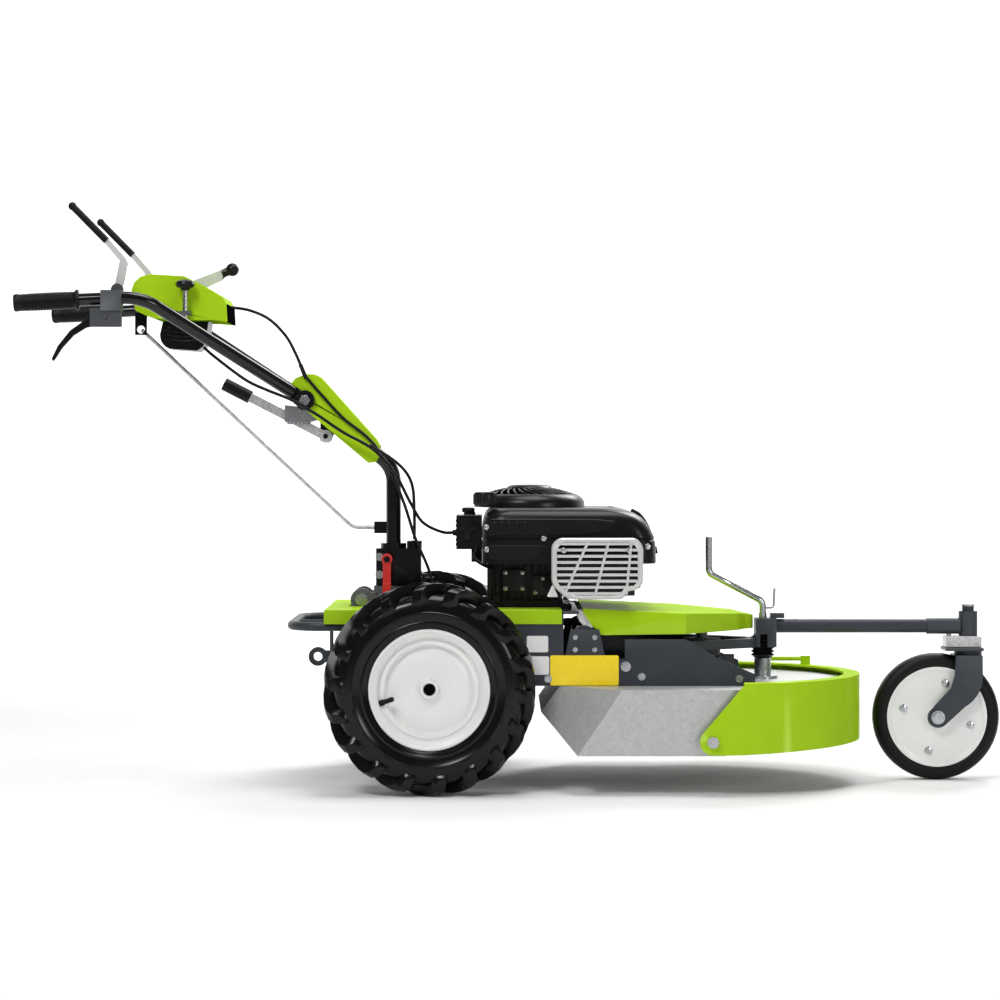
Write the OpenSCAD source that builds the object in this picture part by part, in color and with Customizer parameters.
// Two-wheeled walk-behind brush mower with a rotary blade, a front caster and an adjustable handlebar.
// Origin: on the ground under the middle of the machine. +X runs forward, +Z up, the right side is -Y.

/* [Rear wheels] */
// Diameter of a rear tyre over its lugs
rear_tyre_d = 410; // [400:2:412]
// Width of a rear tyre
rear_tyre_w = 105; // [96:1:106]
// Distance between the middles of the rear tyres
track = 550; // [548:1:560]
// Diameter of a rear rim over its flanges
rear_rim_d = 234; // [230:1:236]
// Diameter of the rear half shafts
axle_d = 25; // [20:1:28]

/* [Front wheel] */
// Diameter of the front wheel over its rubber
front_tyre_d = 255; // [250:1:256]
// Width of the front tyre
front_tyre_w = 50; // [40:1:52]
// Diameter of the white front disc
front_disc_d = 203; // [196:1:206]
// Diameter of the front axle bolt
front_bolt_d = 16; // [12:1:18]

/* [Cutting deck] */
// Half the width of the deck pan
deck_w = 300; // [296:1:301]
// Radius of the blade's tip circle
blade_r = 288; // [250:1:290]
// Height of the deck pan's top
deck_top = 204; // [204:1:205]
// Height of the deck pan's skirt above the ground
skirt_z = 77; // [70:1:84]
// Outer radius of the green front guard
guard_r = 318; // [317:1:320]

/* [Engine] */
// Radius of the round cooling cover
dome_r = 112; // [100:1:114]
// Height of the cooling cover's top
dome_top = 597; // [590:1:600]
// Half the width of the engine shroud
shroud_w = 178; // [150:1:184]

/* [Handlebar] */
// Diameter of the handlebar tubes
bar_d = 25; // [22:1:26]
// Diameter of the rubber grips
grip_d = 35; // [32:1:38]
// Diameter of the steering column
column_d = 30; // [28:1:32]

/* [Hidden] */
$fn = 64;

green = "#a9cb2b";
charcoal = "#3c4045";
black = "#1b1c1e";
zinc = "#b9bcc0";
cast_grey = "#6b6e72";
white = "#eeeeec";
galvanised = "#b4b8ba";

run_gap = 0.05; // radial clearance of a shaft that turns in its bore
seam = 0.01; // gap at each end of a pipe's straight lengths, so that every length stays a plain solid
axle_x = -170;
axle_z = rear_tyre_d / 2;
axle_r = axle_d / 2;
blade_x = 374;
crank_x = 25;
input_x = -150;
column_x = -250;
tilt_p = [-427.5, 0, 766.4]; // pivot of the handlebar on the column
bar_corner = [-733, -225, 964];
bar_end = [-978.5, -245, 951];
bar_r = bar_d / 2;
grip_r = grip_d / 2;
lug_y = 36; // middle of a handlebar lug
arm_p = [132, 0, 295]; // pivot of the front arm on the side plates
spindle_x = 498;
head_x = 914;
wheel_x = 848;
wheel_z = front_tyre_d / 2;
guard_p = [374, 0, 105]; // pivot of the front guard on the deck
plate_y = 196; // inner face of a side plate
plate_t = 4;
clutch_p = [-782, 0, 979];
brake_p = [-800, -240, 925];
gear_p = [-670, 0, 960];
knob_y = -112;
knob_x = -660;
tilt_lever_p = [-387, 0, 694];
rod_p = [-270, 0, 509];
lock_p = [-260, 0, 448];
belt_hi = 334; // height of the drive belt's middle
belt_lo = 318; // height of the blade belt's middle
crank_pulley_r = 36;
blade_pulley_r = 75;
input_pulley_r = 52;

function arc(x, y, r, from, to, n = 10) = [for (i = [0:n]) let (a = from + (to - from) * i / n)
    [x + r * cos(a), y + r * sin(a)]];
function unit(v) = v / norm(v);
// Stadium round two pulleys of radius ra at 0 and rb at distance d along +X.
function loop_outline(ra, rb, d) = let (a = acos((ra - rb) / d))
    concat(arc(0, 0, ra, a, 360 - a, 24), arc(d, 0, rb, -a, a, 24));

// Turns a shape drawn in x and y so that it stands in x and z, with its thickness along y.
module upright(y0, y1) {
    translate([0, y1, 0]) rotate([90, 0, 0]) linear_extrude(y1 - y0) children();
}

// Round rod or pipe between two points; wall 0 leaves it solid.
module rod(a, b, r, wall = 0) {
    d = b - a;
    len = norm(d);
    translate(a) rotate([0, acos(d.z / len), atan2(d.y, d.x)]) linear_extrude(len) difference() {
        circle(r);
        if (wall > 0) circle(r - wall);
    }
}

// Elbow of bend radius br at corner q of the path p, q, s.
module elbow(p, q, s, r, br, wall = 0) {
    u = unit(q - p);
    v = unit(s - q);
    turn = acos(u * v);
    ax = unit(cross(u, v));
    n = cross(ax, u);
    c = q - u * (br * tan(turn / 2)) + n * br;
    multmatrix([[-n.x, u.x, ax.x, c.x], [-n.y, u.y, ax.y, c.y], [-n.z, u.z, ax.z, c.z], [0, 0, 0, 1]])
        rotate_extrude(angle = turn) translate([br, 0]) difference() {
            circle(r);
            if (wall > 0) circle(r - wall);
        }
}

// Bent pipe along pts with elbows of bend radius br.
module bent_pipe(pts, r, br, wall = 0) {
    last = len(pts) - 1;
    function cut(i) = (i == 0 || i == last) ? 0 :
        br * tan(acos(unit(pts[i] - pts[i - 1]) * unit(pts[i + 1] - pts[i])) / 2);
    union() {
        for (i = [0:last - 1]) let (u = unit(pts[i + 1] - pts[i]))
            rod(pts[i] + u * (cut(i) + seam), pts[i + 1] - u * (cut(i + 1) + seam), r, wall);
        for (i = [1:last - 1]) elbow(pts[i - 1], pts[i], pts[i + 1], r, br, wall);
    }
}

// Cable along pts: one swept tube with 8 sides, its ends flat.
function ring_pts(p, t, r) = let (u = unit(cross(t, [0.13, 1, 0.07])), v = cross(t, u))
    [for (k = [0:7]) p + r * (u * cos(45 * k) + v * sin(45 * k))];
function smooth(p, i, t) = let (n = len(p) - 1, a = p[max(i - 1, 0)], b = p[i], c = p[i + 1],
    d = p[min(i + 2, n)]) 0.5 * (2 * b + (c - a) * t + (2 * a - 5 * b + 4 * c - d) * t * t
    + (3 * b - a - 3 * c + d) * t * t * t);
module cable(pts, r, steps = 2) {
    path = [for (i = [0:len(pts) - 2], k = [0:steps - 1]) smooth(pts, i, k / steps), pts[len(pts) - 1]];
    n = len(path);
    dirs = [for (i = [0:n - 1]) unit(path[min(i + 1, n - 1)] - path[max(i - 1, 0)])];
    rings = [for (i = [0:n - 1]) each ring_pts(path[i], dirs[i], r)];
    walls = [for (i = [0:n - 2], k = [0:7]) let (a = 8 * i + k, b = 8 * i + (k + 1) % 8)
        each [[a, b, b + 8], [a, b + 8, a + 8]]];
    start = [[for (k = [7:-1:0]) k]];
    end = [[for (k = [0:7]) 8 * (n - 1) + k]];
    polyhedron(points = rings, faces = concat(walls, start, end), convexity = 6);
}

module mirrored_y() {
    children();
    mirror([0, 1, 0]) children();
}

// Hexagon bolt head with its axis along y, drawn outward from y = 0 towards -y.
module bolt_y(x, y, z, r, h) {
    translate([x, y, z]) rotate([90, 0, 0]) union() {
        cylinder(h = 1.6, r = r * 1.25);
        translate([0, 0, 1.6]) cylinder(h = h, r = r, $fn = 6);
    }
}

// ---------------------------------------------------------------- chassis

plate_outline = [[-320, 204], [-206, 204], [-206, 170], [-134, 170], [-134, 204], [465, 204],
    [465, 227], [393, 258], [340, 290], [330, 295], [210, 295], [210, 257], [90, 257], [90, 349.5],
    [-300, 349.5], [-320, 325]];
module side_plate() {
    difference() {
        union() {
            upright(plate_y, plate_y + plate_t) polygon(plate_outline);
            translate([arm_p.x, plate_y, arm_p.z]) rotate([90, 0, 0]) cylinder(h = 14, r = 26);
            upright(plate_y, plate_y + plate_t) polygon([[92, 257], [172, 257], [160, 315], [104, 315]]);
        }
        translate([arm_p.x, plate_y, arm_p.z]) rotate([90, 0, 0])
            translate([0, 0, -0.5]) cylinder(h = 20, r = 12 + run_gap);
        translate([axle_x, plate_y + 10, axle_z]) rotate([90, 0, 0]) cylinder(h = 20, r = 28);
    }
}
module side_plate_right() {
    color(charcoal) mirror([0, 1, 0]) side_plate();
}
module side_plate_left() {
    color(charcoal) side_plate();
}

module chassis_plates() {
    color(charcoal) union() {
        difference() {
            translate([-90, -plate_y, 344]) cube([210, 2 * plate_y, 6]);
            translate([crank_x, 0, 340]) cylinder(h = 20, r = 30);
        }
        translate([-120, -plate_y, 204]) cube([203, 2 * plate_y, 4]);
        translate([40, -plate_y, 208]) cube([5, 2 * plate_y, 88]);
        translate([-320, -plate_y, 210]) cube([4, 2 * plate_y, 100]);
        mirrored_y() translate([-316, 62, 260]) cube([26, 6, 40]);
    }
}

// Space of the deck pan, inset by g on every face but the bottom.
module deck_space(g) {
    w = deck_w - g;
    side_n = unit([-13462, -15223, 9010]);
    side_a = [115, -deck_w, skirt_z] - side_n * g;
    intersection() {
        translate([0, 0, skirt_z - (g > 0 ? 1 : 0)]) linear_extrude(deck_top - g - skirt_z + (g > 0 ? 1 : 0))
            polygon(concat([[30, -w], [blade_x, -w]], arc(blade_x, 0, w, -88, 88, 44), [[blade_x, w], [30, w]]));
        half_space(side_a, side_n);
        mirror([0, 1, 0]) half_space(side_a, side_n);
        half_space([46 + g, 0, 153 - g * 0.7], unit([-51, 0, 37]));
    }
}
// Everything behind the plane through a whose outward normal is n.
module half_space(a, n) {
    translate(a) rotate([0, acos(n.z), atan2(n.y, n.x)]) translate([-900, -900, -1800]) cube(1800);
}
module deck_pan() {
    lip_z = 140;
    color(galvanised) difference() {
        deck_space(0);
        deck_space(2.5);
        upright(-400, 400) polygon([[115, skirt_z], [46, 153], [20, 153], [20, 60], [115, 60]]);
        translate([blade_x + 26, -400, 60]) cube([400, 800, lip_z - 60]);
        translate([blade_x, 0, 190]) cylinder(h = 30, r = 40);
        mirrored_y() translate([guard_p.x, deck_w + 5, guard_p.z]) rotate([90, 0, 0]) cylinder(h = 15, r = 6);
        translate([spindle_x, 0, 190]) cylinder(h = 30, r = 10.5);
    }
}

module gearbox_case() {
    color(cast_grey) difference() {
        union() {
            translate([-290, -62, 160]) cube([170, 124, 130]);
            translate([-288, -40, 290]) cube([76, 80, 102]);
            translate([column_x, 0, 392]) cylinder(h = 38, r = 22);
            mirrored_y() translate([axle_x, 215, axle_z]) rotate([90, 0, 0]) cylinder(h = 153, r = 28);
            translate([input_x, 0, 290]) cylinder(h = 12, r = 24);
            mirrored_y() translate([-312, 62, 366]) rotate([90, 0, 0]) cylinder(h = 24, r = 22);
            mirrored_y() translate([-312, 38, 350]) cube([30, 24, 30]);
        }
        translate([-283, -55, 167]) cube([156, 110, 116]);
        translate([-281, -33, 280]) cube([62, 66, 105]);
        mirrored_y() translate([axle_x, 216, axle_z]) rotate([90, 0, 0]) cylinder(h = 170, r = axle_r + run_gap);
        translate([input_x, 0, 270]) cylinder(h = 40, r = 10 + run_gap);
    }
}

module rear_bumper() {
    color(charcoal) union() {
        bent_pipe([[-320, -178, 319], [-447, -178, 319], [-447, 178, 319], [-320, 178, 319]], 9, 60, 2);
        translate([-378, -22, 236]) cube([5, 44, 92]);
        translate([-373, -16, 240]) cube([53, 5, 22]);
        translate([-373, 11, 240]) cube([53, 5, 22]);
        mirrored_y() translate([-441, 3, 316]) cube([66, 5, 6]);
        difference() {
            union() {
                translate([-403, 6, 248]) rotate([90, 0, 0]) cylinder(h = 12, r = 19);
                translate([-400, -6, 236]) cube([24, 12, 24]);
            }
            translate([-403, 10, 248]) rotate([90, 0, 0]) cylinder(h = 20, r = 9);
        }
    }
}

// ---------------------------------------------------------------- engine

module engine_crankcase() {
    color(black) difference() {
        union() {
            translate([-78, -95, 350]) cube([187, 190, 9]);
            translate([-60, -78, 359]) cube([150, 156, 81]);
            translate([90, -58, 384]) cube([12, 116, 56]);
            for (i = [0:8]) translate([102 + 14 * i, -60, 384]) cube([6, 120, 112]);
            translate([102, -40, 396]) cube([132, 80, 88]);
            translate([234, -52, 388]) cube([14, 104, 104]);
        }
        translate([-54, -72, 366]) cube([138, 144, 68]);
        translate([crank_x, 0, 340]) cylinder(h = 120, r = 12.5 + run_gap);
    }
}

shroud_outline = [[-70, 440], [274, 447], [272, 480], [264, 508], [248, 530], [222, 545], [190, 551],
    [-52, 551], [-70, 538]];
shroud_inside = [[-67, 430], [271, 430], [269, 480], [261, 506], [246, 527], [221, 542], [190, 548],
    [-51, 548], [-67, 537]];
module engine_shroud() {
    color(black) difference() {
        upright(-shroud_w, shroud_w) polygon(shroud_outline);
        upright(3 - shroud_w, shroud_w - 3) polygon(shroud_inside);
        translate([crank_x, 0, 540]) cylinder(h = 30, r = dome_r - 8);
        translate([-64, -130, 525]) cylinder(h = 45, r = 14);
    }
}

module cooling_dome() {
    color(black) translate([crank_x, 0, 0]) difference() {
        rotate_extrude() polygon([[0, dome_top], [60, dome_top - 1], [84, dome_top - 8],
            [dome_r - 12, dome_top - 22], [dome_r, 560], [dome_r, 551], [dome_r - 3, 551],
            [dome_r - 3, 559], [dome_r - 15, dome_top - 25], [82, dome_top - 12], [60, dome_top - 5], [0, dome_top - 4]]);
        for (a = [0:30:330]) rotate(a + 15) translate([40, -4, 560]) cube([36, 8, 60]);
    }
}

module muffler() {
    color(zinc) difference() {
        translate([85, -189, 380]) cube([145, 69, 56]);
        translate([88, -186, 383]) cube([139, 63, 50]);
    }
    color(zinc) rod([150, -119.9, 410], [150, -60.2, 410], 12);
}

guard_outline = [[67, 402], [98, 373], [214, 373], [244, 402], [244, 478], [236, 494], [75, 494], [67, 478]];
module muffler_guard() {
    color("silver") difference() {
        upright(-222, -190) polygon(guard_outline);
        upright(-218.5, -180) polygon([[71, 404], [100, 377], [212, 377], [240, 404], [240, 477], [234, 490],
            [77, 490], [71, 477]]);
        for (i = [0:8]) for (s = [0, 1]) translate([80 + 80 * s, -230, 387 + 11 * i])
            cube([i == 0 ? 62 : 70, 20, 5]);
    }
    color("silver") for (x = [90, 218]) rod([x, -218.4, 440 + 30], [x, -shroud_w - 0.1, 470], 5);
}

module air_filter_box() {
    color(black) difference() {
        translate([-122, -62, 467]) cube([51, 124, 68]);
        translate([-118, -58, 471]) cube([44, 116, 60]);
    }
    color(black) rod([-96, 0, 535], [-96, 0, 541], 12);
    color(black) translate([-92, -30, 440.5]) cube([21.9, 60, 26.2]);
}

module fuel_cap() {
    color(black) translate([-64, -130, 0]) difference() {
        union() {
            translate([0, 0, 555]) cylinder(h = 28, r = 22);
            for (a = [0:30:330]) rotate(a) translate([21, -2.5, 557]) cube([3, 5, 22]);
            translate([0, 0, 530]) cylinder(h = 26, r = 13.4);
        }
        translate([0, 0, 525]) cylinder(h = 40, r = 10);
    }
}

module crankshaft() {
    color(zinc) translate([crank_x, 0, 0]) union() {
        translate([0, 0, 300]) cylinder(h = 225, r = 12.5);
        translate([0, 0, 498]) cylinder(h = 22, r = 84);
        for (a = [0:30:330]) rotate(a) translate([40, -2, 520]) cube([40, 4, 16]);
    }
}

// Grooved pulley for a flat-sided belt, its middle at height z.
module pulley(z, r, bore) {
    rotate_extrude() translate([0, z]) polygon([[bore, -7], [r, -7], [r, -5.6], [r - 8.5, -5.6],
        [r - 8.5, 5.6], [r, 5.6], [r, 7], [bore, 7]]);
}
module crank_pulleys() {
    color(zinc) translate([crank_x, 0, 0]) {
        pulley(belt_hi, crank_pulley_r, 12.5);
        pulley(belt_lo, crank_pulley_r, 12.5);
    }
}
module belt(x, z, ra, rb, d) {
    color("dimgray") translate([x, 0, z - 5]) linear_extrude(10) difference() {
        polygon(loop_outline(ra - 0.6, rb - 0.6, d));
        polygon(loop_outline(ra - 8.1, rb - 8.1, d));
    }
}
module blade_belt() {
    belt(crank_x, belt_lo, crank_pulley_r, blade_pulley_r, blade_x - crank_x);
}
module drive_belt() {
    belt(input_x, belt_hi, input_pulley_r, crank_pulley_r, crank_x - input_x);
}
module input_pulley() {
    color(zinc) translate([input_x, 0, 0]) union() {
        pulley(belt_hi, input_pulley_r, 0);
        translate([0, 0, 190]) cylinder(h = 152, r = 10);
        translate([0, 0, 196]) cylinder(h = 40, r = 14);
    }
}

// ---------------------------------------------------------------- cutting unit

module bearing_housing() {
    color(cast_grey) translate([blade_x, 0, 0]) difference() {
        union() {
            translate([0, 0, 192]) cylinder(h = 94, r = 38);
            translate([0, 0, deck_top]) cylinder(h = 9, r = 74);
            for (a = [0:60:300]) rotate(a) translate([30, -3, 213]) cube([36, 6, 40]);
        }
        translate([0, 0, 180]) cylinder(h = 120, r = 12.5 + run_gap);
    }
}
module blade_spindle() {
    color(zinc) translate([blade_x, 0, 0]) union() {
        translate([0, 0, 101]) cylinder(h = 230, r = 12.5);
        translate([0, 0, 101]) cylinder(h = 9, r = 34);
        pulley(belt_lo, blade_pulley_r, 0);
    }
}
module blade() {
    color("slategray") translate([blade_x, 0, 0]) union() {
        translate([0, 0, 95]) cylinder(h = 6, r = 70);
        intersection() {
            translate([-300, -32, 95]) cube([600, 64, 6]);
            cylinder(h = 200, r = blade_r);
        }
        for (a = [0, 180]) rotate(a) translate([200, 26, 101]) cube([70, 6, 18]);
        translate([0, 0, 84]) cylinder(h = 11, r = 15, $fn = 6);
    }
}
module spindle_foot() {
    color(zinc) translate([spindle_x, 0, 0]) union() {
        difference() {
            union() {
                translate([0, 0, deck_top]) cylinder(h = 6, r = 30);
                translate([0, 0, deck_top]) cylinder(h = 41, r = 17);
            }
            translate([0, 0, deck_top + 4]) cylinder(h = 60, r = 12.6);
        }
        translate([0, 0, 192]) cylinder(h = 12, r = 10);
    }
}
module bellows() {
    color(black) translate([spindle_x, 0, 0]) rotate_extrude() polygon(concat(
        [[18.5, 246.2], [18, 246.2]], [for (i = [0:5]) each [[19.5, 246.4 + 7.8 * i], [24.5, 250.3 + 7.8 * i]]],
        [[19, 293.4], [16, 293.4]], [for (i = [5:-1:0]) each [[22, 250.3 + 7.8 * i], [17.4, 246.6 + 7.8 * i]]]));
}

module cover_plan(g) {
    w = 188 - g;
    polygon(concat([[128 + g, -w], [330, -w], [440 - g * 0.6, g - 80]], arc(440 - g, 0, 38, -60, 60, 8),
        [[440 - g * 0.6, 80 - g], [330, w], [128 + g, w]]));
}
module front_cover() {
    color(green) difference() {
        intersection() {
            translate([0, 0, 290]) linear_extrude(80) cover_plan(0);
            upright(-200, 200) polygon([[120, 302], [440, 306], [490, 306], [490, 331], [440, 340], [128, 355],
                [120, 355]]);
        }
        translate(arm_p + [0, 250, 0]) rotate([90, 0, 0]) cylinder(h = 500, r = 29);
        intersection() {
            translate([0, 0, 280]) linear_extrude(80) union() {
                cover_plan(2.5);
                translate([100, -185.5]) square([40, 371]);
            }
            upright(-200, 200) polygon([[120, 290], [490, 290], [490, 328.5], [440, 337.5], [128, 352.5],
                [120, 352.5]]);
        }
    }
}
module rear_cover() {
    color(green) difference() {
        translate([-379, -204, 325]) cube([466, 408, 28]);
        translate([-376.5, -201.5, 300]) cube([480, 403, 50.3]);
        translate([-300, -110, 340]) cube([480, 220, 30]);
        translate([-460, -190, 300]) cube([90, 380, 32]);
        translate([-337, -66, 340]) cube([60, 132, 30]);
    }
}

module chassis_fasteners() {
    mirrored_y() color(zinc) {
        bolt_y(212, -200, 242, 8, 6);
        bolt_y(-312, -62, 366, 10, 7);
        for (p = [[60, 218], [243, 222], [434, 218]]) bolt_y(p.x, -200, p.y, 6, 4);
        for (sx = [-1, 1], sz = [-1, 1]) bolt_y(arm_p.x + 19 * sx, -200, arm_p.z - 8 + 12 * sz, 4, 3);
        translate([guard_p.x, -deck_w + 6, guard_p.z]) rotate([90, 0, 0]) cylinder(h = 34, r = 6);
        translate([guard_p.x, -deck_w, guard_p.z]) rotate([90, 0, 0]) cylinder(h = 13.5, r = 12);
        translate([guard_p.x, -guard_r - 0.5, guard_p.z]) rotate([90, 0, 0]) cylinder(h = 7, r = 11);
        translate([guard_p.x, -deck_w + 8.5, guard_p.z]) rotate([90, 0, 0]) cylinder(h = 5.2, r = 12);
    }
    color(zinc) for (a = [45:90:315]) translate([blade_x, 0, deck_top + 9]) rotate(a)
        translate([66, 0, 0]) cylinder(h = 6, r = 7, $fn = 6);
}

// ---------------------------------------------------------------- rear wheels
// A wheel is drawn with its middle at the origin, +Z pointing outward.

module tyre_shape() {
    b = rear_rim_d / 2;
    r = rear_tyre_d / 2;
    h = rear_tyre_w / 2;
    rotate_extrude($fn = 96) polygon(concat([[b - 15, 35.5], [b + 1, 35.7], [b + 7, 42], [b + 33, h - 2.5],
        [b + 55, h], [r - 14, h], [r - 4, h - 8], [r, h - 20]], [[r, 20 - h], [r - 4, 8 - h], [r - 14, -h],
        [b + 55, -h], [b + 33, 2.5 - h], [b + 7, -42], [b + 1, -35.7], [b - 15, -35.5], [b - 15, -24],
        [b + 3, -30], [b + 33, -40], [b + 60, -42], [r - 16, -30], [r - 14, 0], [r - 16, 30], [b + 60, 42],
        [b + 33, 40], [b + 3, 30], [b - 15, 24]]));
}
module rim_shape() {
    f = rear_rim_d / 2;
    b = f - 15;
    rotate_extrude($fn = 96) polygon([[axle_r, -38], [22, -38], [22, 6], [48, 9], [82, 9], [86, 18], [b - 3, 18],
        [b - 3, -36.5], [b - 3, -39], [f, -39], [f, -36], [b, -36], [b, 36], [f, 36], [f, 39], [b - 3, 39],
        [b - 3, 21], [84, 21], [80, 12], [48, 12], [22, 9.5], [22, 26], [axle_r, 26]]);
}
module axle_shape() {
    // The inner end sits in the gearbox, the outer end in the rim's hub.
    translate([0, 0, 20 - track / 2]) cylinder(h = track / 2 + 2, r = axle_r);
    translate([0, 0, -240]) cylinder(h = 12, r = 30, $fn = 48);
}
module at_right_wheel() {
    translate([axle_x, -track / 2, axle_z]) rotate([90, 0, 0]) children();
}
module at_left_wheel() {
    mirror([0, 1, 0]) at_right_wheel() children();
}
module tyre_right() {
    color(black) at_right_wheel() tyre_shape();
}
module rim_right() {
    color(white) at_right_wheel() rim_shape();
}
module axle_right() {
    color(zinc) at_right_wheel() axle_shape();
}
module tyre_left() {
    color(black) at_left_wheel() tyre_shape();
}
module rim_left() {
    color(white) at_left_wheel() rim_shape();
}
module axle_left() {
    color(zinc) at_left_wheel() axle_shape();
}

// ---------------------------------------------------------------- column

column_end = tilt_p + [17.6, 0, -13.2];
module column_tube() {
    color(black) union() {
        bent_pipe([[column_x, 0, 436], [column_x, 0, 632], column_end], column_d / 2, 62, 2.5);
        translate([-290, 14.2, 497]) cube([40, 4, 24]);
        translate([rod_p.x, 36, rod_p.z]) rotate([90, 0, 0]) cylinder(h = 19, r = 5);
        upright(-6, 6) polygon([[-398, 684], [-376, 684], [-370, 700], [-370, 718], [-398, 736]]);
        translate(tilt_lever_p + [0, 14, 0]) rotate([90, 0, 0]) cylinder(h = 28, r = 5);
    }
}
module column_socket() {
    color(black) difference() {
        union() {
            translate([-284, -36, 394]) cube([91, 72, 74]);
            translate([column_x, 0, 468]) cylinder(h = 10, r = 26);
            for (y = [-27, 0, 27]) translate([-222, y - 3, 468]) cube([29, 6, 14]);
            rod([lock_p.x, -36, lock_p.z], [lock_p.x, -98, lock_p.z], 6);
            rod([-207, -30, 466], [-207, -30, 484], 6);
            for (z = [415, 451]) rod([-277, -36, z], [-277, -42, z], 8);
        }
        translate([column_x, 0, 380]) cylinder(h = 51, r = 22 + run_gap);
        translate([column_x, 0, 436]) cylinder(h = 60, r = column_d / 2);
    }
}
module tilt_hinge() {
    color(black) union() {
        translate([tilt_p.x, 24, tilt_p.z]) rotate([90, 0, 0]) cylinder(h = 48, r = 19);
        translate([tilt_p.x, 39, tilt_p.z]) rotate([90, 0, 0]) cylinder(h = 78, r = 8);
        mirrored_y() translate([tilt_p.x, 44, tilt_p.z]) rotate([90, 0, 0]) cylinder(h = 5, r = 11, $fn = 6);
        mirrored_y() upright(14, 19) union() {
            polygon([[-430, 752], [-469, 757], [-469, 722], [-420, 722], [-400, 728], [-412, 752]]);
            for (i = [0:5]) translate([-464 + 8 * i, 718]) square([5, 6]);
        }
    }
}
cover_edge = [[-457, 799], [-447, 811], [-427, 819], [-409, 819], [-397, 814], [-284, 688], [-276, 674],
    [-276, 655], [-284, 642], [-300, 640], [-421, 742]];
cover_hollow = [[-480, 790], [-454, 799], [-445, 808.5], [-426, 816], [-410, 816], [-399, 811.5],
    [-287, 686.5], [-279, 673], [-279, 656], [-287, 645], [-300, 600], [-440, 700]];
module mid_cover() {
    color(green) difference() {
        upright(-27, 27) polygon(cover_edge);
        upright(-24.5, 24.5) polygon(cover_hollow);
        translate([-290, -18, 636]) cube([20, 36, 40]);
        translate([tilt_p.x, 40, tilt_p.z]) rotate([90, 0, 0]) cylinder(h = 80, r = 9);
    }
}
module column_lock_lever() {
    color("#c8202a") difference() {
        union() {
            translate([lock_p.x, -85, lock_p.z]) rotate([90, 0, 0]) cylinder(h = 10, r = 11);
            translate([lock_p.x - 8, -94, 374]) cube([16, 8, lock_p.z - 374]);
            translate([lock_p.x - 8, -99, 374]) cube([16, 6, 26]);
        }
        translate([lock_p.x, -80, lock_p.z]) rotate([90, 0, 0]) cylinder(h = 30, r = 6 + run_gap);
    }
}
// The lever runs back and up from its pivot at 27.2 degrees.
module tilt_lever() {
    color(zinc) translate(tilt_lever_p) rotate([0, 27.2, 0]) difference() {
        union() {
            mirrored_y() translate([-170, 9, -9]) cube([182, 3, 18]);
            translate([-170, -12, 6]) cube([120, 24, 3]);
            translate([-172, -12, -9]) cube([4, 24, 18]);
            mirrored_y() translate([0, 12, 0]) rotate([90, 0, 0]) cylinder(h = 3, r = 13);
        }
        translate([0, 30, 0]) rotate([90, 0, 0]) cylinder(h = 60, r = 5 + run_gap);
        translate([-66, 30, 0]) rotate([90, 0, 0]) cylinder(h = 60, r = 5);
    }
    color(black) translate(tilt_lever_p) rotate([0, 27.2, 0]) rod([-232, 0, 0], [-172, 0, 0], 13);
}
module brace_rod() {
    color(zinc) difference() {
        union() {
            bent_pipe([[-764, 28, 911], [-334, 28, 509], [-270, 28, 509]], 4, 30);
            translate([rod_p.x, 32, rod_p.z]) rotate([90, 0, 0]) cylinder(h = 8, r = 10);
        }
        translate([rod_p.x, 40, rod_p.z]) rotate([90, 0, 0]) cylinder(h = 20, r = 5 + run_gap);
    }
}

// ---------------------------------------------------------------- handlebar

// The right half of the handlebar: a flat lug at the pivot and the bar.
module right_bar() {
    root = [tilt_p.x, -lug_y, tilt_p.z];
    u = unit(bar_corner - root);
    slope = atan2(u.z, -u.x);
    difference() {
        union() {
            bent_pipe([root + u * 34, bar_corner, bar_end - unit(bar_end - bar_corner) * 4], bar_r, 100);
            translate([tilt_p.x, -30, tilt_p.z]) rotate([90, 0, 0]) cylinder(h = 8, r = 20);
            translate([tilt_p.x, 0, tilt_p.z]) rotate([0, slope, 0]) translate([-54, -37, -13]) cube([50, 6, 26]);
            translate([tilt_p.x, 0, tilt_p.z]) rotate([0, slope, 0]) translate([-54, -50, -10]) cube([22, 14, 20]);
        }
        translate([tilt_p.x, -20, tilt_p.z]) rotate([90, 0, 0]) cylinder(h = 40, r = 8 + run_gap);
    }
}
module handlebar_tube() {
    color(black) union() {
        mirrored_y() right_bar();
        rod([-700, -204, 942.7], [-700, 204, 942.7], 7);
        rod([-600, -142, 878], [-600, 142, 878], 8);
        difference() {
            union() {
                translate([-776, 16.5, 900]) cube([24, 7, 46]);
                translate([-776, 16.5, 938]) cube([76, 7, 8]);
            }
            translate([-764, 40, 911]) rotate([90, 0, 0]) cylinder(h = 30, r = 8);
        }
    }
}
console_edge = concat([[-770, 985], [-764, 1001], [-752, 1012], [-733, 1017], [-664, 1013], [-620, 991],
    [-588, 972], [-580, 958], [-578, 922], [-610, 925], [-690, 925], [-730, 930], [-762, 944]]);
console_hollow = [[-767, 984], [-762, 999], [-750, 1009], [-733, 1014], [-665, 1010], [-622, 988.5],
    [-591, 970], [-583, 957], [-581, 910], [-690, 910], [-730, 910], [-759, 946]];
module console_shell() {
    color(green) difference() {
        upright(-90, 90) polygon(console_edge);
        upright(-87, 87) polygon(console_hollow);
        translate([-700, 100, 942.7]) rotate([90, 0, 0]) cylinder(h = 200, r = 7);
        translate([-700, 12, 970]) cube([112, 26, 60]);
        translate([-800, 13, 890]) cube([110, 22, 60]);
    }
    color(zinc) rod([gear_p.x, -87, gear_p.z], [gear_p.x, 87, gear_p.z], 5);
}
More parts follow.
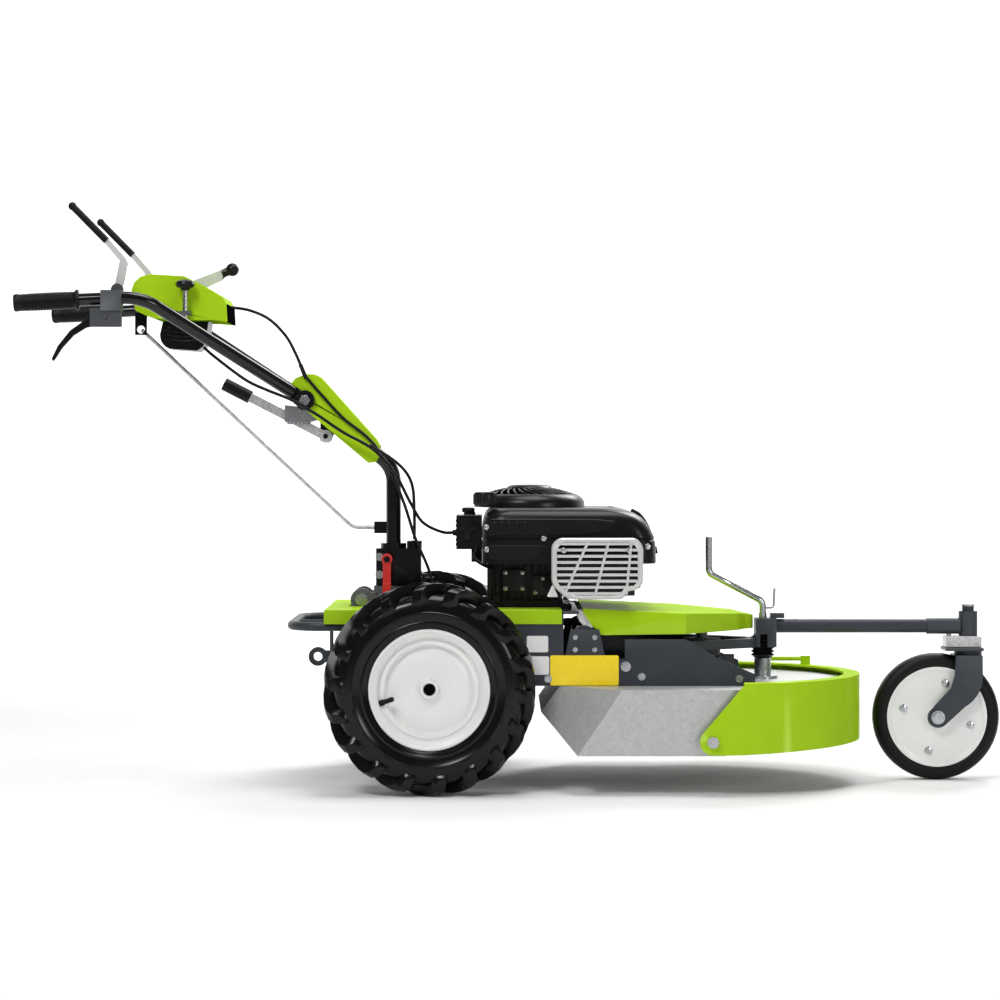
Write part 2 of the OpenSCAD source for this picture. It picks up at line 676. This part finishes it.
module lower_housing() {
    color(black) difference() {
        upright(-45, 45) polygon(concat([[-712, 925], [-718, 900]], arc(-690, 896, 28, 180, 250, 5),
            arc(-654, 892, 28, 290, 360, 5), [[-620, 925]]));
        upright(-42, 42) polygon(concat([[-709, 930], [-715, 900]], arc(-690, 896, 25, 180, 250, 5),
            arc(-654, 892, 25, 290, 360, 5), [[-623, 930]]));
        translate([-800, 13, 920]) cube([110, 22, 10]);
    }
}
module grip() {
    u = unit(bar_end - bar_corner);
    difference() {
        union() {
            rod(bar_end - u * 121, bar_end, grip_r);
            rod(bar_end - u * 126, bar_end - u * 120, grip_r + 3);
        }
        rod(bar_end - u * 130, bar_end - u * 3.2, bar_r);
    }
}
module grip_right() {
    color("#202123") grip();
}
module grip_left() {
    color("#202123") mirror([0, 1, 0]) grip();
}
module lever_brackets() {
    color("#2b2d30") {
        mirrored_y() difference() {
            union() {
                translate([clutch_p.x - 9, -240, 948]) cube([18, 34, 27]);
                translate([clutch_p.x, -205.5, clutch_p.z]) rotate([90, 0, 0]) cylinder(h = 9, r = 12);
                translate([clutch_p.x, -190, clutch_p.z]) rotate([90, 0, 0]) cylinder(h = 20, r = 4);
                translate([clutch_p.x - 9, -214.5, 955]) cube([18, 9, 20]);
            }
            rod(bar_corner, bar_end, bar_r);
        }
        difference() {
            union() {
                translate([-809, -254, 936]) cube([40, 34, 40]);
                translate([-830, -250, 905]) cube([60, 6, 36]);
                translate([-830, -236, 905]) cube([60, 6, 36]);
            }
            rod(bar_corner, bar_end, bar_r);
        }
        rod(brake_p + [0, -12, 0], brake_p + [0, 12, 0], 5);
        difference() {
            translate([knob_x - 10, knob_y - 10, 934]) cube([20, 32, 8]);
            translate([knob_x, knob_y, 930]) cylinder(h = 20, r = 5 + run_gap);
        }
    }
}
// A clutch lever: zinc link from the pivot, then a sleeved handle.
module clutch_lever() {
    color(zinc) difference() {
        union() {
            translate(clutch_p + [0, -194, 0]) rotate([90, 0, 0]) cylinder(h = 10, r = 10);
            upright(-203, -195) polygon([[-790, 979], [-774, 976], [-762, 1031], [-778, 1036]]);
            upright(-203, -195) polygon([[-778, 1036], [-762, 1031], [-766, 1040], [-800, 1079], [-808, 1071]]);
        }
        translate(clutch_p + [0, -190, 0]) rotate([90, 0, 0]) cylinder(h = 20, r = 4 + run_gap);
    }
    color(black) rod([-804, -199, 1075], [-871, -199, 1143], 7);
    color(black) translate([-871, -199, 1143]) sphere(8.2);
}
module drive_clutch_lever() {
    clutch_lever();
}
module blade_clutch_lever() {
    mirror([0, 1, 0]) clutch_lever();
}
module brake_lever() {
    color(black) difference() {
        union() {
            translate(brake_p + [0, 3.8, 0]) rotate([90, 0, 0]) cylinder(h = 7.6, r = 11);
            upright(-243.8, -236.2) polygon(concat([[-795, 935], [-800, 914], [-812, 908]],
                [[-838, 903], [-862, 888], [-884, 864], [-898, 842], [-902, 838], [-905, 843], [-893, 868],
                [-869, 898], [-842, 917], [-812, 930]]));
        }
        translate(brake_p + [0, 20, 0]) rotate([90, 0, 0]) cylinder(h = 40, r = 5 + run_gap);
    }
}
module gear_lever() {
    color(zinc) difference() {
        union() {
            translate([gear_p.x, 30, gear_p.z]) rotate([90, 0, 0]) cylinder(h = 10, r = 11);
            upright(20, 30) polygon([[-678, 968], [-664, 950], [-648, 990], [-600, 1011], [-592, 1020],
                [-600, 1033], [-655, 1012], [-664, 1004]]);
        }
        translate([gear_p.x, 40, gear_p.z]) rotate([90, 0, 0]) cylinder(h = 30, r = 5 + run_gap);
    }
    color(black) rod([-600, 25, 1025], [-579, 25, 1033], 9);
    color(black) translate([-579, 25, 1033]) sphere(13.5);
}
module throttle_knob() {
    color(zinc) translate([knob_x, knob_y, 915]) cylinder(h = 68, r = 5);
    color(black) translate([knob_x, knob_y, 0]) rotate_extrude() polygon([[0, 983], [8, 983], [10, 987],
        [17, 990], [19.5, 995], [17, 1001], [9, 1004.5], [0, 1005]]);
}

// ---------------------------------------------------------------- front arm and caster

module front_arm() {
    color(charcoal) difference() {
        union() {
            rod([arm_p.x, -195.5, arm_p.z], [arm_p.x, 195.5, arm_p.z], 12);
            mirrored_y() union() {
                translate([arm_p.x, 134, arm_p.z]) rotate([90, 0, 0]) cylinder(h = 16, r = 19);
                upright(118, 134) polygon([[120, 282], [150, 268], [340, 268], [340, 286], [150, 300], [132, 310]]);
            }
            mirrored_y() translate([340, 0, 268]) linear_extrude(18) polygon([[0, 118], [0, 134], [126, 50],
                [144, 26], [142, 10], [130, 10]]);
            translate([482, -26, 268]) cube([42, 52, 58]);
            translate([466, -26, 268]) cube([18, 52, 18]);
            rod([524, 0, 310], [850, 0, 310], 14, 2.5);
            rod([830, 0, 310], [897, 0, 310], 16.5, 2.5);
            translate([head_x, 0, 290]) cylinder(h = 50, r = 19);
            translate([513, -12, 326]) cube([28, 24, 10]);
        }
        translate([spindle_x, 0, 294]) cylinder(h = 60, r = 8 + run_gap);
        translate([spindle_x, 0, 250]) cylinder(h = 44, r = 27);
        translate([head_x, 0, 280]) cylinder(h = 80, r = 12 + run_gap);
        translate([875, 0, 280]) cylinder(h = 25, r = 5.5);
    }
}
module caster_lock_block() {
    color(zinc) difference() {
        translate([866, -24, 268]) cube([72, 48, 22]);
        translate([head_x, 0, 260]) cylinder(h = 40, r = 12 + run_gap);
        translate([875, 0, 260]) cylinder(h = 40, r = 5 + run_gap);
    }
}
fork_outline = concat([[938, 250]], arc(868, 210, 70, 0, -60, 10), arc(848, 127.5, 21, -50, -230, 12),
    [[874, 186], [882, 212], [884, 250]]);
module caster_fork() {
    color(charcoal) union() {
        difference() {
            mirrored_y() upright(32, 38) polygon(fork_outline);
            translate([wheel_x, 60, wheel_z]) rotate([90, 0, 0]) cylinder(h = 120, r = front_bolt_d / 2);
        }
        translate([907, -34, 244]) cube([31, 68, 6]);
        translate([884, -38, 250]) cube([54, 76, 2]);
        translate([head_x, 0, 250]) cylinder(h = 11, r = 28);
        difference() {
            translate([864, -38, 261]) cube([76, 76, 6]);
            translate([875, 0, 250]) cylinder(h = 30, r = 5.4);
        }
        translate([head_x, 0, 262]) cylinder(h = 88, r = 12);
    }
    color(zinc) {
        rod([wheel_x, -38, wheel_z], [wheel_x, 38, wheel_z], front_bolt_d / 2);
        bolt_y(wheel_x, -38, wheel_z, 11, 7);
        mirror([0, 1, 0]) bolt_y(wheel_x, -38, wheel_z, 11, 7);
        translate([head_x, 0, 350]) cylinder(h = 4, r = 14);
    }
}
module caster_lock_pin() {
    color(zinc) union() {
        translate([875, 0, 267.5]) cylinder(h = 41, r = 5);
        translate([875, 0, 308]) cylinder(h = 3.5, r = 6.5);
    }
}
module front_tyre() {
    r = front_tyre_d / 2;
    h = front_tyre_w / 2;
    b = front_disc_d / 2;
    color(black) translate([wheel_x, 0, wheel_z]) rotate([90, 0, 0]) rotate_extrude($fn = 96)
        polygon([[b, -h + 3], [b + 4, -h], [r - 12, -h], [r - 3, 8 - h], [r, 16 - h], [r, h - 16],
            [r - 3, h - 8], [r - 12, h], [b + 4, h], [b, h - 3]]);
}
module front_disc() {
    b = front_disc_d / 2;
    color(white) translate([wheel_x, 0, wheel_z]) rotate([90, 0, 0]) difference() {
        rotate_extrude($fn = 96) polygon([[front_bolt_d / 2 + run_gap, -30], [22, -30], [22, -20], [b - 10, -20],
            [b - 6, -22], [b, -22], [b, 22], [b - 6, 22], [b - 10, 20], [22, 20], [22, 30],
            [front_bolt_d / 2 + run_gap, 30]]);
        rotate_extrude($fn = 96) polygon([[28, -16], [b - 8, -16], [b - 8, 16], [28, 16]]);
    }
    color(zinc) translate([wheel_x, 0, wheel_z]) for (side = [0, 180]) rotate([90 + side, 0, 0])
        for (a = [76:90:346]) rotate(a) translate([70, 0, 20]) cylinder(h = 5, r = 7, $fn = 6);
}
module height_crank() {
    color(zinc) union() {
        translate([spindle_x, 0, 226]) cylinder(h = 110, r = 8);
        bent_pipe([[spindle_x, 0, 336], [spindle_x, 0, 360], [389, 0, 417], [389, 0, 490]], 7, 16);
        bent_pipe([[spindle_x + 4, 0, 347], [520, 0, 347], [522, 0, 386]], 2.5, 6);
    }
}
module front_guard() {
    top_z = 216;
    in_r = guard_r - 3.5;
    side_outline = concat([[374, 80], [430, 80], [700, 88], [700, top_z], [436, top_z], [356, 123]],
        arc(374, 105, 25, 136, 270, 8));
    color(green) union() {
        difference() {
            intersection() {
                difference() {
                    translate([guard_p.x, 0, 70]) cylinder(h = 150, r = guard_r, $fn = 128);
                    translate([guard_p.x, 0, 60]) cylinder(h = 170, r = in_r, $fn = 128);
                }
                upright(-400, 400) polygon(side_outline);
                translate([guard_p.x, -400, 0]) cube([400, 800, 400]);
            }
            translate([guard_p.x, 400, guard_p.z]) rotate([90, 0, 0]) cylinder(h = 800, r = 6 + run_gap);
        }
        mirrored_y() difference() {
            intersection() {
                translate([330, in_r, 60]) cube([44, 3.5, 160]);
                upright(-400, 400) polygon(side_outline);
            }
            translate([guard_p.x, 400, guard_p.z]) rotate([90, 0, 0]) cylinder(h = 800, r = 6 + run_gap);
        }
        difference() {
            translate([guard_p.x, 0, top_z - 3]) cylinder(h = 4, r = guard_r, $fn = 128);
            translate([guard_p.x, 0, top_z - 10]) cylinder(h = 20, r = 286, $fn = 128);
            translate([0, -400, 200]) cube([436, 800, 40]);
        }
    }
    color(green) translate([596, 200, top_z + 1]) cube([20, 6, 18]);
    color(zinc) rod([517, 203, 229], [595.9, 203, 229], 4.5);
}

// ---------------------------------------------------------------- cables

// Routes of the cables that the handlebar, the column and the chassis hold, split at their joints.
upper_routes = [
    [[-577, -20, 954], [-540, -24, 948], [-500, -30, 930], [-466, -32, 896], [-446, -32, 860], [-430, -32, 822]],
    [[-630, -30, 872], [-604, -84, 852], [-541, -112, 806], [-500, -94, 786], [-460, -70, 770], [-436, -68, 758]]
];
lower_routes = [
    [[-428, -32, 817], [-400, -34, 784], [-350, -34, 730], [-300, -34, 690], [-262, -36, 640], [-228, -40, 560],
        [-205, -46, 490], [-175, -64, 420], [-162, -58, 350], [-160, -58, 293]],
    [[-434, -68, 756], [-400, -60, 736], [-350, -54, 702], [-290, -52, 668], [-246, -50, 620], [-215, -30, 560],
        [-190, -20, 520], [-150, -10, 500], [-123, 0, 500]],
    [[-296, -70, 676], [-240, -68, 640], [-212, -52, 600], [-207, -34, 540], [-207, -30, 486]]
];
module cables_upper() {
    color(black) for (p = upper_routes) cable(p, 3.2);
}
module cables_lower() {
    color(black) for (p = lower_routes) cable(p, 3.2);
}

side_plate_right();
side_plate_left();
chassis_plates();
deck_pan();
gearbox_case();
rear_bumper();
engine_crankcase();
engine_shroud();
cooling_dome();
muffler();
muffler_guard();
air_filter_box();
front_cover();
rear_cover();
drive_belt();
blade_belt();
bearing_housing();
chassis_fasteners();
spindle_foot();
bellows();
cables_lower();
fuel_cap();
crankshaft();
crank_pulleys();
blade_spindle();
blade();
input_pulley();
tyre_right();
rim_right();
axle_right();
tyre_left();
rim_left();
axle_left();
column_tube();
column_socket();
tilt_hinge();
mid_cover();
column_lock_lever();
tilt_lever();
brace_rod();
cables_upper();
handlebar_tube();
console_shell();
lower_housing();
grip_right();
grip_left();
lever_brackets();
drive_clutch_lever();
blade_clutch_lever();
brake_lever();
gear_lever();
throttle_knob();
front_arm();
caster_lock_block();
caster_fork();
caster_lock_pin();
front_tyre();
front_disc();
height_crank();
front_guard();
